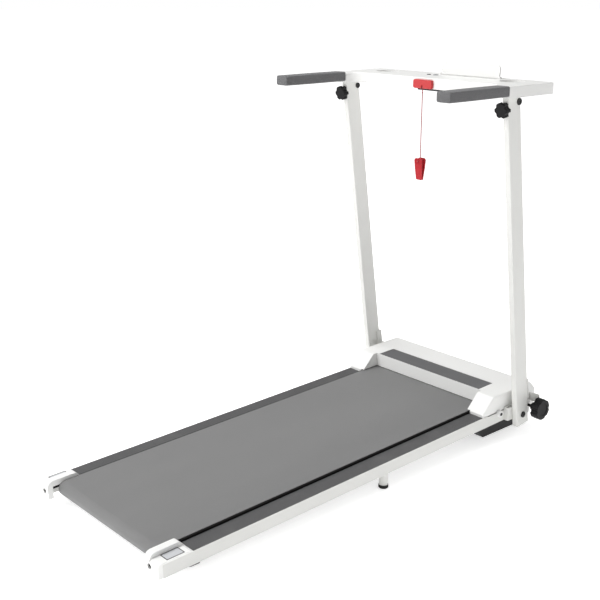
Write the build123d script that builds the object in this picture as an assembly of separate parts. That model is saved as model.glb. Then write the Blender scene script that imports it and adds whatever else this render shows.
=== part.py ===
from build123d import *
import math
import os

# Folding treadmill. Millimetres, +X to the runner's right, +Y towards the console, +Z up.
# Deck pieces are drawn in the deck frame: Y along the deck from the rails' rear end, Z square to
# the deck from the underside of the rails. on_deck tilts and lifts them into place. Mast and
# console pieces are drawn level, with Z from the floor. At the end everything is moved so that
# the origin is the bottom centre of the whole machine.

# ---- deck and belt ----
belt_width = 420.0
deck_width = belt_width + 107.0      # outside of rail to outside of rail
deck_rise = 1.56          # degrees, front end up
rail_lift = 25.0          # floor to the rails' rear bottom corner
rail_length = 1290.0
rail_width = 25.0
rail_height = 32.8
rail_wall = 2.0
rail_lip = 1.5            # width of the outer lip that frames the side strip
strip_thickness = 3.0
strip_width = 48.4
belt_thickness = 1.5
belt_top = 39.5
roller_radius = 17.7
roller_end_play = 1.0          # roller end to belt edge
belt_gap = 0.3            # between turning rollers and the fixed belt
rear_roller_y = 35.0
front_roller_y = 1137.0
axle_radius = 5.0
axle_reach = 19.0         # into the rail, past its inner face
running_clearance = 0.05
bearing_width = 10.0
bearing_inset = 0.5       # inside the roller's end
roller_wall = 2.2
board_width = belt_width + 9.0
board_thickness = 15.0
board_rear_y = 62.0
board_front_y = 1108.0
cross_depth = 15.0
cross_width = 32.0
cushion_height = 3.0
cushion_radius = 14.0

# ---- rear caps and feet ----
cap_overhang = 12.0
cap_length = 92.0
cap_inner_x = belt_width / 2 + 1.0
cap_shelf_z = 36.5
cap_ridge_z = 48.0
cap_ridge_width = 20.0
cap_round = 17.0
cap_panel_x = belt_width / 2 + 34.7
cap_panel_width = 27.5
cap_panel_y = 15.0
cap_panel_length = 47.0
tension_x = belt_width / 2 + 19.0
tension_bolt_radius = 3.0
tension_head_radius = 6.0
foot_x = belt_width / 2 + 5.0
foot_width = 30.0
foot_length = 32.0
foot_y = 106.0
leg_x = belt_width / 2 + 37.0
leg_y = 686.0
leg_radius = 11.5
leg_cap_height = 9.0
front_foot_x = belt_width / 2 - 10.0
front_foot_y = 1250.0
front_foot_radius = 17.0

# ---- motor bay ----
hood_top = 81.5
hood_wall = 2.5
hood_rear_y = 1063.0          # rear toe of the cheeks, on the strips
hood_cheek_y = 1108.0          # top of the cheeks' sloping rear face
hood_face_y = 1123.0          # rear face between the cheeks
hood_front_y = 1295.0
hood_front_round = 22.0
cheek_inner_x = belt_width / 2 - 5.0
hood_belt_gap = 2.0
hood_step = 4.0          # depth of the recess that holds the insert
insert_half_width = belt_width / 2 - 15.0
insert_length = 63.0
insert_thickness = 2.8
pan_half_width = belt_width / 2 + 18.0
pan_floor = 3.0           # floor to the underside of the pan
pan_slope = 48.0          # length of the pan's sloping rear end
pan_wall = 2.5
pan_rear_y = 1062.0
motor_radius = 32.0
motor_length = 128.0
motor_y = 1226.0
motor_z = 33.0
motor_x = -70.0
pulley_x = -(belt_width / 2 + 8.0)
pulley_width = 12.0
roller_pulley_radius = 24.0
motor_pulley_radius = 10.0
drive_belt_thickness = 2.0
shaft_radius = 4.0
inlet_place = (150.0, 17.0)
switch_x = 184.0

# ---- mast ----
mast_outer_x = belt_width / 2 + 87.0
mast_tube_x = 18.0
mast_tube_y = 50.0
mast_wall = 1.6
mast_lean = 8.0           # degrees, top towards the runner
mast_foot_y = 1174.4      # rear bottom edge of the uprights
mast_foot_z = 37.7
mast_pivot_up = 30.9      # pivot above the tube's lower end, along the tube
pivot_radius = 5.0
bracket_sheet = 4.0
bracket_gap = 0.3         # between the bracket and the upright
bracket_rear_y = 1152.0
bracket_front_y = 1250.0
bracket_low_z = 58.0
bracket_high_z = 95.0
tab_low = 65.0            # ends of the stop tab, along the upright
tab_high = 131.0
lug_low_z = 97.0
lug_high_z = 121.0
lug_x = mast_outer_x + 14.0
lock_knob_y = 1238.0
lock_knob_z = 85.0
knob_lobes = 6
lock_knob_radius = 30.0
lock_knob_length = 23.0
lock_knob_x = mast_outer_x + 15.0   # inner face of the lock knob's head
lock_stud_radius = 4.0

side_bush_y = 1129.0
side_bush_z = 27.5
side_bush_radius = 9.5
side_bolt_radius = 4.5

# ---- console ----
console_half_width = mast_outer_x + 15.5
console_top_z = 991.2
console_base_z = 962.2
console_arm_y = 1030.0          # rear end of the two arms
console_face_y = 1066.0   # rear face between the arms
console_front_y = 1220.0
console_corner = 14.0
arm_inner_x = mast_outer_x - 33.0
arm_sweep = 59.0          # length of the curve from arm to rear face
shell_wall = 3.0
base_thickness = 3.0
console_pivot_y = 1090.0
console_pivot_z = 950.0
console_bolt_radius = 4.0
star_stud_radius = 4.0
tongue_thickness = 5.0
tongue_slot = 5.8
mast_top_gap = 0.5          # upright's top below the console base
handle_x = mast_outer_x - 7.4
handle_z = 979.0
handle_width = 36.0
handle_height = 17.0
handle_wall = 1.6
handle_rear_y = 811.0
grip_rear_y = 809.0
grip_width = 45.8
grip_height = 27.0
star_knob_radius = 20.0
star_knob_length = 16.0
star_knob_up = 904.0      # along the upright
tongue_lobe = 7.0
tongue_tail = 22.0        # depth of the tail's rear edge behind the upright's rear face
swing_radius = 11.3       # round front corner of the upright's top, about the bolt
cup_x = mast_outer_x - 76.0
cup_y = 1156.0
cup_radius = 33.0
cup_depth = 21.0
rest_half_width = 100.0
rest_height = 33.0
rest_thickness = 5.0
rest_lean = 10.0
rest_pivot_y = 1180.0
rest_pin_radius = 1.5
rest_clearance = 0.4      # under the rest when it is folded flat
rest_x = 62.0
rest_ear = 4.0
dock_half_width = 22.0
dock_half_height = 8.0
dock_z = 974.0
power_button_x = -56.0
mode_button_x = -31.5
button_y = 1147.0
control_box_x = (-24.0, 130.0)
control_box_drop = 4.5

# ---- safety key, lanyard and clip ----
key_width = 66.0
key_height = 23.5
key_thickness = 8.7
key_gap = 0.3
notch_depth = 6.0
cord_radius = 1.25
cord_exit = (0.0, 1060.2, 966.0)
cord_points = [
    cord_exit,
    (0.0, 1060.2, 790.0),
    (1.8, 1060.0, 774.0),
    (0.3, 1056.5, 767.6),
    (0.0, 1049.6, 767.0),
]
knot_radius = 1.9
knot_drop = 14.0          # lower knot below the upper one
clip_width = 28.0
clip_foot_width = 21.0
clip_height = 60.0
clip_plate = 3.0
clip_top_z = 775.0
clip_pin_z = 745.0
clip_pin_radius = 1.6
clip_x = 0.0
clip_y = 1060.2
clip_eye_radius = 1.8

# ---- worked out from the sizes above ----
rail_outer_x = deck_width / 2
rail_inner_x = rail_outer_x - rail_width
strip_inner_x = rail_outer_x - strip_width
roller_centre_z = belt_top - belt_thickness - roller_radius - belt_gap
roller_length = belt_width + 2 * roller_end_play
board_top = belt_top - belt_thickness
board_bottom = board_top - board_thickness
cross_top = board_bottom - cushion_height
cross_ys = (foot_y, 420.0, leg_y, 1082.0)
mast_x = mast_outer_x - mast_tube_x / 2
lean = math.radians(mast_lean)
pivot_across = mast_tube_y / 2
mast_pivot_y = mast_foot_y + pivot_across * math.cos(lean) - mast_pivot_up * math.sin(lean)
mast_pivot_z = mast_foot_z + pivot_across * math.sin(lean) + mast_pivot_up * math.cos(lean)
rest_pivot_z = console_top_z + rest_clearance + rest_thickness / 2
key_bottom_z = console_base_z + 0.3
bracket_plate_x = mast_outer_x - mast_tube_x - bracket_gap
on_mast = Pos(0, mast_foot_y, mast_foot_z) * Rot(mast_lean, 0, 0)
on_deck = Pos(0, 0, rail_lift) * Rot(deck_rise, 0, 0)


def block(x0, x1, y0, y1, z0, z1):
    """Box between two corners."""
    return Pos((x0 + x1) / 2, (y0 + y1) / 2, (z0 + z1) / 2) * Box(x1 - x0, y1 - y0, z1 - z0)


def rod(axis, x, y, z, radius, length):
    """Cylinder centred on a point, along X, Y or Z."""
    turn = {"X": Rot(0, 90, 0), "Y": Rot(90, 0, 0), "Z": Rot(0, 0, 0)}[axis]
    return Pos(x, y, z) * turn * Cylinder(radius, length)


def tube_along_x(x, y, z, outer, inner, length):
    """Hollow cylinder along X."""
    return rod("X", x, y, z, outer, length) - rod("X", x, y, z, inner, length + 2)


def mirrored(shape):
    """The same piece on the other side of the machine."""
    return shape.mirror(Plane.YZ)


def pair(shape):
    """A piece and its mirror image as one group."""
    return Compound([shape, mirrored(shape)])


def side_profile(points, x0, x1):
    """Solid whose outline in the YZ plane is the polygon through points, from x0 to x1."""
    face = make_face(Polyline([(0, y, z) for y, z in points], close=True))
    return Pos(x0, 0, 0) * extrude(face, amount=x1 - x0, dir=(1, 0, 0))


# ================= deck frame =================

def rail():
    """Right rail: closed box section with an outer lip that frames the side strip."""
    tube_top = rail_height - strip_thickness
    body = block(rail_inner_x, rail_outer_x, 0, rail_length, 0, tube_top)
    hollow = block(rail_inner_x + rail_wall, rail_outer_x - rail_wall, -1, rail_length + 1,
                   rail_wall, tube_top - rail_wall)
    lip = block(rail_outer_x - rail_lip, rail_outer_x, 0, hood_rear_y + 20, tube_top, rail_height)
    body = body - hollow + lip
    for y in (rear_roller_y, front_roller_y):
        body = body - rod("X", rail_inner_x, y, roller_centre_z, axle_radius, 2 * axle_reach)
    return body


def side_strip():
    """Right foot strip: flat top with a leg down beside the board."""
    top = block(strip_inner_x, rail_outer_x - rail_lip, cap_length - cap_overhang - 8,
                hood_rear_y + 18, rail_height - strip_thickness, rail_height)
    leg = block(strip_inner_x, strip_inner_x + 2.5, cap_length - cap_overhang - 8,
                hood_rear_y + 18, cross_top + 0.2, rail_height - strip_thickness)
    return top + leg


def cross_members():
    """Box tubes between the rails, above the lower run of the belt."""
    bars = []
    for y in cross_ys:
        outer = block(-rail_inner_x, rail_inner_x, y - cross_width / 2, y + cross_width / 2,
                      cross_top - cross_depth, cross_top)
        inner = block(-rail_inner_x - 1, rail_inner_x + 1, y - cross_width / 2 + 2,
                      y + cross_width / 2 - 2, cross_top - cross_depth + 2, cross_top - 2)
        bars.append(outer - inner)
    return Compound(bars)


def deck_cushions():
    """Rubber pads between the cross members and the board."""
    pads = []
    for y in cross_ys:
        for x in (-150, 0, 150):
            pads.append(rod("Z", x, y, cross_top + cushion_height / 2, cushion_radius, cushion_height))
    return Compound(pads)


def deck_board():
    """Waxed board that the belt slides on."""
    return block(-board_width / 2, board_width / 2, board_rear_y, board_front_y,
                 board_bottom, board_top - 0.1)


def loop_band(width, x, ends, inner_offset, thickness):
    """Belt round two pulleys. ends holds (y, z, radius) of each; offset and thickness are outwards."""
    def outline(extra):
        (y0, z0, r0), (y1, z1, r1) = ends
        span = math.hypot(y1 - y0, z1 - z0)
        slope = math.atan2(z1 - z0, y1 - y0)
        tilt = math.asin((r0 - r1) / span)
        top0 = slope + math.pi / 2 - tilt
        low0 = slope - math.pi / 2 + tilt

        def at(centre_y, centre_z, radius, angle):
            return (0, centre_y + radius * math.cos(angle), centre_z + radius * math.sin(angle))

        a0, a1 = r0 + extra, r1 + extra
        edges = [
            Line(at(y0, z0, a0, top0), at(y1, z1, a1, top0)),
            ThreePointArc(at(y1, z1, a1, top0), at(y1, z1, a1, slope), at(y1, z1, a1, low0)),
            Line(at(y1, z1, a1, low0), at(y0, z0, a0, low0)),
            ThreePointArc(at(y0, z0, a0, low0), at(y0, z0, a0, slope + math.pi), at(y0, z0, a0, top0)),
        ]
        return make_face(edges)

    ring = outline(inner_offset + thickness) - outline(inner_offset)
    return Pos(x - width / 2, 0, 0) * extrude(ring, amount=width, dir=(1, 0, 0))


def running_belt():
    """Endless belt round both rollers and the board."""
    ends = [(rear_roller_y, roller_centre_z, roller_radius),
            (front_roller_y, roller_centre_z, roller_radius)]
    return loop_band(belt_width, 0, ends, belt_gap, belt_thickness)


def roller(y):
    """Roller shell. It turns on bearings at both ends."""
    return tube_along_x(0, y, roller_centre_z, roller_radius, roller_radius - roller_wall, roller_length)


def roller_bearings():
    """Ball bearings pressed on the axles, inside the roller ends."""
    outer = roller_radius - roller_wall - running_clearance
    rings = []
    for y in (rear_roller_y, front_roller_y):
        for side in (-1, 1):
            x = side * (roller_length / 2 - bearing_inset - bearing_width / 2)
            rings.append(tube_along_x(x, y, roller_centre_z, outer, axle_radius, bearing_width))
    return Compound(rings)


def roller_axle(y, tapped):
    """Fixed axle held in the rails' inner walls. The rear one is tapped for the tension bolts."""
    axle = rod("X", 0, y, roller_centre_z, axle_radius, 2 * (rail_inner_x + axle_reach))
    if tapped:
        for side in (-1, 1):
            x = side * tension_x
            axle = axle - rod("Y", x, y, roller_centre_z, tension_bolt_radius, 4 * axle_radius)
    return axle


def tension_bolts():
    """Socket bolts in the rear caps that pull the rear axle back and tighten the belt."""
    bolts = []
    head_y = 3 - cap_overhang
    for side in (-1, 1):
        x = side * tension_x
        shank = rod("Y", x, head_y + 26, roller_centre_z, tension_bolt_radius, 46)
        head = rod("Y", x, head_y + 3, roller_centre_z, tension_head_radius, 6)
        socket = Pos(x, head_y, roller_centre_z) * Rot(90, 0, 0) * extrude(
            RegularPolygon(3.0, 6), amount=3, both=True)
        bolts.append(shank + head - socket)
    return Compound(bolts)


def rear_cap():
    """Right end cap: shelf over the strip and the rail's lip, ridge beside the belt, end wall."""
    y0 = -cap_overhang
    y1 = cap_length - cap_overhang
    ridge_x = cap_inner_x + cap_ridge_width
    shelf = side_profile([(y0, 1.5), (y1 - 18, 1.5), (y1 - 18, rail_height), (y1, rail_height),
                          (y1, rail_height + 1), (y1 - 7, cap_shelf_z), (y0, cap_shelf_z)],
                         cap_inner_x, rail_outer_x)
    shelf = fillet(shelf.edges().filter_by(Axis.X).group_by(Axis.Y)[0].sort_by(Axis.Z)[-1:], 9)
    ridge = side_profile([(y0, 10), (y1, 10), (y1, rail_height + 2), (y1 - 13, cap_ridge_z),
                          (y0, cap_ridge_z)], cap_inner_x, ridge_x)
    ridge = fillet(ridge.edges().filter_by(Axis.X).group_by(Axis.Y)[0].sort_by(Axis.Z)[-1:], cap_round)
    ridge = fillet(ridge.edges().filter_by(Axis.X).sort_by(Axis.Z)[-1:], 8)
    body = shelf + ridge
    body = body - block(rail_inner_x, rail_outer_x, 0, y1 + 1, -1, rail_height)
    body = body - block(strip_inner_x, rail_outer_x, y1 - 18, y1 + 1, -1, rail_height)
    body = body - block(cap_inner_x - 1, rail_inner_x + 1, 2, y1 + 1, -1, rail_height)
    board_room = block(cap_inner_x - 1, board_width / 2 + 0.5, board_rear_y - 1, y1 + 1, -1, board_top + 0.3)
    body = body - board_room
    hollow = block(cap_inner_x + 2.5, ridge_x - 2.5, 2, y1 - 16, 0, cap_ridge_z - 3)
    body = body - hollow
    head_room = rod("Y", tension_x, y0, roller_centre_z, tension_head_radius + 1.2, 18)
    shank_room = rod("Y", tension_x, y0, roller_centre_z, tension_bolt_radius + 0.5, 60)
    panel_room = block(cap_panel_x - cap_panel_width / 2, cap_panel_x + cap_panel_width / 2, cap_panel_y,
                       cap_panel_y + cap_panel_length, cap_shelf_z - 1.0, cap_shelf_z + 5)
    return body - head_room - shank_room - panel_room


def cap_panel():
    """Plain plate let into the shelf of the right cap."""
    panel = block(cap_panel_x - cap_panel_width / 2, cap_panel_x + cap_panel_width / 2, cap_panel_y,
                  cap_panel_y + cap_panel_length, cap_shelf_z - 1.0, cap_shelf_z + 0.2)
    return fillet(panel.edges().filter_by(Axis.Z), 2)


def below_plane(deck_z):
    """Everything under a plane parallel to the deck, in the level frame."""
    return on_deck * block(-500, 500, -300, 1600, deck_z - 400, deck_z)


def level_column(x, y, radius, bottom, deck_top):
    """Upright round column from a level bottom to a plane parallel to the deck."""
    return rod("Z", x, y, bottom + 75, radius, 150) & below_plane(deck_top)


def mid_leg():
    """Right middle leg: round tube under the rail."""
    return level_column(leg_x, leg_y, leg_radius, leg_cap_height, 0)


def feet():
    """Rubber feet under the rear ends and the motor bay, and the caps of the middle legs."""
    pieces = []
    for side in (-1, 1):
        rear = block(foot_x - foot_width / 2, foot_x + foot_width / 2, foot_y - foot_length / 2,
                     foot_y + foot_length / 2, 0, 100) & below_plane(0)
        rear = fillet(rear.edges().filter_by(Axis.Z), 5)
        cap = rod("Z", leg_x, leg_y, leg_cap_height / 2, leg_radius + 1.5, leg_cap_height)
        cap = chamfer(cap.edges().group_by(Axis.Z)[0], 1.5)
        front = rod("Z", front_foot_x, front_foot_y, pan_floor / 2, front_foot_radius, pan_floor)
        for piece in (rear, cap, front):
            pieces.append(piece if side > 0 else mirrored(piece))
    return Compound(pieces)


# ================= motor bay =================

def hood_outline(offset):
    """Side outline of the hood, moved inwards by offset."""
    toe = hood_rear_y + offset
    return [(toe, rail_height - 1), (toe, rail_height + 7 - offset / 2),
            (hood_cheek_y + offset * 0.6, hood_top - offset),
            (hood_front_y - hood_front_round - offset * 0.4, hood_top - offset),
            (hood_front_y - offset, hood_top - hood_front_round - offset * 0.4),
            (hood_front_y - offset, 0)]


def motor_hood():
    """Moulded hood with two cheeks on the side strips, a front skirt and a seat for the insert."""
    side_x = rail_outer_x - rail_lip
    body = side_profile(hood_outline(0), -side_x, side_x)
    body = fillet(body.edges().filter_by(Axis.X).group_by(Axis.Z)[-1].sort_by(Axis.Y)[:1], 6)
    body = fillet(body.edges().filter_by(Axis.X).group_by(Axis.Z)[-1].sort_by(Axis.Y)[-1:], 12)
    rim = [e for e in body.edges()
           if abs(abs(e.center().X) - side_x) < 0.01 and e.center().Z > rail_height + 8]
    body = fillet(rim, 4)
    cavity = side_profile(hood_outline(hood_wall), -side_x + hood_wall, side_x - hood_wall)
    main_room = cavity & block(-600, 600, hood_face_y + hood_wall, 2000, -10, 500)
    cheek_room = cavity & block(cheek_inner_x + hood_wall, 600, 0, 2000, rail_height - 2, 500)
    body = body - main_room - cheek_room - mirrored(cheek_room)
    body = body - block(-cheek_inner_x, cheek_inner_x, 0, hood_face_y, -50, 300)
    body = body - block(-strip_inner_x, strip_inner_x, 0, hood_face_y + 60, -50, belt_top + hood_belt_gap)
    body = body - block(-rail_outer_x, rail_outer_x, 0, rail_length + 0.3, -50, rail_height)
    z0 = hood_top - hood_step
    seat = block(-insert_half_width - 3, insert_half_width + 3, hood_face_y, hood_face_y + insert_length + 5,
                 z0 - hood_wall, hood_top - 1)
    insert_room = block(-insert_half_width - 0.3, insert_half_width + 0.3, hood_face_y + 0.7,
                        hood_face_y + insert_length + 1.3, z0, hood_top + 5)
    x, z = inlet_place
    front_holes = block(x - 14, x + 14, hood_front_y - 20, hood_front_y + 5, z - 10, z + 10)
    front_holes = front_holes + block(switch_x - 6, switch_x + 6, hood_front_y - 20, hood_front_y + 5,
                                      z - 8.7, z + 8.7)
    return body + seat - insert_room - front_holes


def hood_insert():
    """Bare plate let into the hood's top, a little below it."""
    plate = block(-insert_half_width, insert_half_width, hood_face_y + 1, hood_face_y + 1 + insert_length,
                  hood_top - hood_step, hood_top - hood_step + insert_thickness)
    return fillet(plate.edges().filter_by(Axis.Z), 4)


def belly_pan():
    """Tray under the motor bay: level floor, sloping rear end, flanges under the rails."""
    front = hood_front_y - 2.0
    rear = pan_rear_y
    foot = pan_rear_y + pan_slope
    wall = pan_wall
    outer = side_profile([(rear, 200), (rear, 50), (foot, pan_floor), (front, pan_floor), (front, 200)],
                         -pan_half_width, pan_half_width)
    inner = side_profile([(rear + wall, 201), (rear + wall, 50.5), (foot + 1, pan_floor + wall),
                          (front - wall, pan_floor + wall), (front - wall, 201)],
                         -pan_half_width + wall, pan_half_width - wall)
    tray = (outer - inner) & below_plane(-0.2)
    flange = block(pan_half_width - 4, rail_inner_x + 14, rear, front - 4, -wall, 0)
    flange = on_deck * flange
    return tray + flange + mirrored(flange)


def motor_body():
    """Motor can with end bells and two flats where it is strapped down."""
    can = rod("X", motor_x, motor_y, motor_z, motor_radius, motor_length)
    for side in (-1, 1):
        can = can + rod("X", motor_x + side * (motor_length / 2 + 4), motor_y, motor_z, motor_radius - 4, 8)
    bore = rod("X", motor_x, motor_y, motor_z, shaft_radius + 0.3, motor_length + 40)
    return can - bore


def motor_mount():
    """Steel saddle from the motor down to the pan, cut level at its foot."""
    saddle = block(motor_x - 40, motor_x + 40, motor_y - 30, motor_y + 30, -70, motor_z - 12)
    saddle = saddle - rod("X", motor_x, motor_y, motor_z, motor_radius, 200)
    saddle = saddle - block(motor_x - 41, motor_x + 41, motor_y - 26, motor_y + 26, -71, motor_z - 36)
    return (on_deck * saddle) & block(-500, 500, 0, 2000, pan_floor + pan_wall, 200)


def motor_shaft():
    """Motor shaft with its small belt pulley."""
    reach_x = pulley_x - pulley_width / 2
    length = motor_x + motor_length / 2 - reach_x
    shaft = rod("X", reach_x + length / 2, motor_y, motor_z, shaft_radius, length)
    return shaft + flanged_pulley(motor_y, motor_z, motor_pulley_radius)


def flanged_pulley(y, z, radius):
    """Belt pulley with a rim each side, on the drive belt's line."""
    disc = rod("X", pulley_x, y, z, radius, pulley_width)
    for side in (-1, 1):
        disc = disc + rod("X", pulley_x + side * (pulley_width / 2 - 0.75), y, z, radius + 3, 1.5)
    return disc


def roller_pulley():
    """Large pulley on the left end of the front roller."""
    disc = flanged_pulley(front_roller_y, roller_centre_z, roller_pulley_radius)
    hub_end = pulley_x + pulley_width / 2 - 1
    hub_length = -roller_length / 2 - hub_end
    hub = rod("X", hub_end + hub_length / 2, front_roller_y, roller_centre_z, roller_radius, hub_length)
    bore = rod("X", pulley_x, front_roller_y, roller_centre_z, axle_radius + running_clearance, 60)
    return disc + hub - bore


def drive_belt():
    """Ribbed belt from the motor pulley to the roller pulley."""
    ends = [(front_roller_y, roller_centre_z, roller_pulley_radius), (motor_y, motor_z, motor_pulley_radius)]
    return loop_band(pulley_width - 4, pulley_x, ends, belt_gap, drive_belt_thickness)


def controller_box():
    """Motor controller on the pan's floor, with a finned lid."""
    floor_z = pan_floor + pan_wall
    box = block(60, 190, 1160, 1250, floor_z, floor_z + 60)
    for i in range(8):
        x = 68 + i * 15
        box = box + block(x, x + 4, 1164, 1246, floor_z + 60, floor_z + 70)
    return box


def power_inlet():
    """Appliance inlet in the front of the hood, with three pins."""
    x, z = inlet_place
    front = hood_front_y
    shell = block(x - 13.8, x + 13.8, front - 17, front, z - 9.8, z + 9.8)
    flange = block(x - 17, x + 17, front, front + 1.5, z - 13, z + 13)
    room = block(x - 11.5, x + 11.5, front - 14, front + 3, z - 7.5, z + 7.5)
    shell = shell + flange - room
    for dx, dz in ((-6, -1.5), (6, -1.5), (0, 2.5)):
        shell = shell + block(x + dx - 1, x + dx + 1, front - 15, front - 3, z + dz - 2, z + dz + 2)
    return shell


def power_switch():
    """Rocker switch beside the inlet."""
    z = inlet_place[1]
    front = hood_front_y
    rocker = side_profile([(front - 7, z - 8), (front + 0.4, z - 8), (front - 0.4, z),
                           (front + 1.6, z + 8), (front - 7, z + 8)], switch_x - 5.5, switch_x + 5.5)
    rocker = rocker & rod("X", switch_x, front - 6, z, 10.5, 30)
    return rocker - rod("X", switch_x, front - 6, z, 1.5 + running_clearance, 30)


def switch_pin():
    """Pivot of the rocker, with its two holders behind the hood's front wall."""
    z = inlet_place[1]
    front = hood_front_y - hood_wall
    pin = rod("X", switch_x, hood_front_y - 6, z, 1.5, 18)
    for side in (-1, 1):
        x = switch_x + side * 7.5
        pin = pin + block(x - 1.5, x + 1.5, front - 8, front, z - 5, z + 5)
    return pin


# ================= mast =================


def upright():
    """Right upright: flat-sided tube. Its top is round about the console's bolt and open for the tongue."""
    x0 = mast_outer_x - mast_tube_x
    x1 = mast_outer_x
    outer = block(x0, x1, 0, mast_tube_y, 0, 1100)
    outer = fillet(outer.edges().filter_by(Axis.Z), 2.5)
    inner = block(x0 + mast_wall, x1 - mast_wall, mast_wall, mast_tube_y - mast_wall, 4, 1101)
    knob_hole = rod("Y", mast_x, 0, star_knob_up, star_stud_radius + running_clearance, 10)
    tube = on_mast * (outer - inner - knob_hole)
    tube = tube & block(0, 600, 0, 2000, 0, console_base_z - mast_top_gap)
    corner = block(0, 600, console_pivot_y, 2000, console_pivot_z, 2000)
    tube = tube - (corner - rod("X", 300, console_pivot_y, console_pivot_z, swing_radius, 600))
    slot = block(mast_x - tongue_slot / 2, mast_x + tongue_slot / 2, console_pivot_y + 2,
                 console_pivot_y + 60, console_pivot_z - tongue_lobe - 2, 2000)
    tube = tube - slot
    tube = tube - rod("X", mast_x, mast_pivot_y, mast_pivot_z, pivot_radius + running_clearance, 60)
    return tube - rod("X", mast_x, console_pivot_y, console_pivot_z, console_bolt_radius, 60)


def socket_bolt(x_head, x_tip, y, z, shank, head, head_length):
    """Bolt along X with a round head and a hexagon socket, head at x_head."""
    inward = -1 if x_head > x_tip else 1
    shaft = rod("X", (x_head + x_tip) / 2, y, z, shank, abs(x_head - x_tip))
    head_part = rod("X", x_head - inward * head_length / 2, y, z, head, head_length)
    rims = head_part.edges().filter_by(GeomType.CIRCLE).sort_by(Axis.X)
    head_part = chamfer(rims[-1 if inward < 0 else 0], 0.8)
    socket = Pos(x_head - inward * head_length, y, z) * Rot(0, 90, 0) * extrude(
        RegularPolygon(shank * 0.62, 6), amount=head_length * 0.6, both=True)
    return shaft + head_part - socket


def mast_pivot_bolts():
    """Pivot bolts of the mast, through both walls of the hinge brackets."""
    bolt = socket_bolt(mast_outer_x + 0.3, rail_outer_x, mast_pivot_y, mast_pivot_z, pivot_radius, 8.5, 3.5)
    return pair(bolt)


def console_pivot_bolts():
    """Bolts at the tops of the uprights that the console turns on."""
    bolt = socket_bolt(mast_outer_x, mast_outer_x - mast_tube_x, console_pivot_y, console_pivot_z,
                       console_bolt_radius, 9, 3)
    nut = rod("X", mast_outer_x - mast_tube_x - 1.5, console_pivot_y, console_pivot_z, 7.5, 3)
    return pair(bolt + nut)


def hinge_bracket():
    """Right hinge bracket: folded channel on the rail, with a stop tab and a lug."""
    s = bracket_sheet
    x1 = bracket_plate_x
    inner = block(rail_outer_x, rail_outer_x + s, bracket_rear_y, bracket_front_y,
                  bracket_low_z, bracket_high_z)
    rear = block(rail_outer_x, x1, bracket_rear_y, bracket_rear_y + s, bracket_low_z, bracket_high_z)
    outer = side_profile([(bracket_rear_y, bracket_low_z), (bracket_front_y, bracket_low_z),
                          (bracket_front_y, lug_high_z), (bracket_front_y - 14, lug_high_z),
                          (bracket_front_y - 30, bracket_high_z), (bracket_rear_y, bracket_high_z)],
                         x1 - s, x1)
    tab_y = mast_tube_y + bracket_gap + 0.2
    ear = on_mast * block(x1 - s, x1, mast_tube_y - 14, tab_y + s, tab_low - 30, tab_high)
    tab = on_mast * block(x1 - s, mast_outer_x, tab_y, tab_y + s, tab_low, tab_high)
    lug = block(x1 - s, lug_x, bracket_front_y - s, bracket_front_y, lug_low_z, lug_high_z)
    body = inner + rear + outer + ear + tab + lug
    rear_corners = body.edges().filter_by(Axis.Z).group_by(Axis.Y)[0]
    body = fillet(rear_corners.sort_by(Axis.X)[-1:], 3)
    body = body - rod("X", lock_knob_x, lock_knob_y, lock_knob_z, lock_stud_radius + running_clearance, 200)
    return body - rod("X", mast_x, mast_pivot_y, mast_pivot_z, pivot_radius, 60)


def scalloped_head(radius, length, lobes, bite, depth):
    """Knob head along Z with scallops round its rim, chamfered at the outer end."""
    head = Pos(0, 0, length / 2) * Cylinder(radius, length)
    head = chamfer(head.edges().group_by(Axis.Z)[-1], 2)
    ring = radius + bite - depth
    for i in range(lobes):
        angle = 360 / lobes * (i + 0.5)
        head = head - Rot(0, 0, angle) * Pos(ring, 0, length / 2) * Cylinder(bite, length + 2)
    return head


def lock_knob():
    """Right lock knob: fluted head, neck and threaded stud."""
    head = scalloped_head(lock_knob_radius, lock_knob_length, knob_lobes, 9.0, 4.5)
    head = head - Pos(0, 0, lock_knob_length) * Cylinder(lock_knob_radius - 12, 2.4)
    place = Pos(lock_knob_x, lock_knob_y, lock_knob_z) * Rot(0, 90, 0)
    neck_end = mast_outer_x + 1
    neck = rod("X", (neck_end + lock_knob_x) / 2, lock_knob_y, lock_knob_z, 11, lock_knob_x - neck_end)
    stud_tip = rail_outer_x + bracket_sheet + 1.5
    stud = rod("X", (stud_tip + lock_knob_x) / 2, lock_knob_y, lock_knob_z, lock_stud_radius,
               lock_knob_x - stud_tip)
    return place * head + neck + stud


# ================= console =================

def console_plan(inset, arm_end):
    """Plan of the console, a shallow U whose arms end at arm_end, moved inwards by inset."""
    x1 = console_half_width - inset
    xa = arm_inner_x + inset
    ya = arm_end
    yf = console_face_y + inset
    y1 = console_front_y - inset
    r = console_corner - inset * 0.8
    sweep = arm_sweep
    depth = yf - ya

    right_curve = EllipticalCenterArc((xa - sweep, ya), sweep, depth, start_angle=0, arc_size=90)
    left_curve = EllipticalCenterArc((sweep - xa, ya), sweep, depth, start_angle=90, arc_size=90)
    edges = [
        Line((x1, ya), (x1, y1 - r)),
        RadiusArc((x1, y1 - r), (x1 - r, y1), -r),
        Line((x1 - r, y1), (-x1 + r, y1)),
        RadiusArc((-x1 + r, y1), (-x1, y1 - r), -r),
        Line((-x1, y1 - r), (-x1, ya)),
        Line((-x1, ya), (-xa, ya)),
        left_curve,
        Line((-xa + sweep, yf), (xa - sweep, yf)),
        right_curve,
        Line((xa, ya), (x1, ya)),
    ]
    return make_face(edges)


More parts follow.
